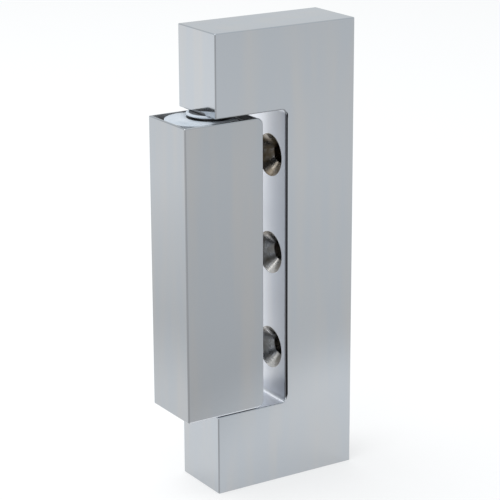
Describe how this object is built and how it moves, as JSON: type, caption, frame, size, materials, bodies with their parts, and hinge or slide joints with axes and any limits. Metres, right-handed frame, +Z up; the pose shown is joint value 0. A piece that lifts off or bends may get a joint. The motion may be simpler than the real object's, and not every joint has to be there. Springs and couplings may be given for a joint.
{
  "type": "edge mount hinge",
  "caption": "Chrome edge-mount hinge: a C-shaped cast body with countersunk screw holes in its notch, and a hollow leaf that swings in the notch on a steel pin in nylon bushings.",
  "frame": {"origin": "under the middle of the whole hinge, at the level of the body's bottom end", "axes": "+Z up along the pin, +X from the leaf towards the body's mounting side, +Y from the front towards the back"},
  "size_m": [0.054, 0.019, 0.1302],
  "materials": {
    "polished_chrome": "polished chrome plate on zinc, with a faint ripple in the reflections",
    "pin_steel": "ground steel",
    "white_nylon": "moulded, semi-matte, faintly blue white",
    "spring_steel": "drawn spring wire, lightly oiled"
  },
  "bodies": {
    "body": {"body": "polished_chrome", "hinge_pin": "pin_steel", "closing_spring": "spring_steel", "pin_set_screw": "pin_steel", "pin_plug": "polished_chrome"},
    "leaf": {"leaf": "polished_chrome", "upper_bushing": "white_nylon", "lower_bushing": "white_nylon"}
  },
  "joints": [
    {"name": "leaf_swing", "type": "hinge", "parent": "body", "child": "leaf", "pos_m": [-0.01348, 0, 0.06509], "axis": [0, 0, 1], "range_deg": [0, 120], "stiffness_Nm_per_rad": 0.12, "springref_deg": -28.65, "deforming": ["closing_spring"]}
  ]
}
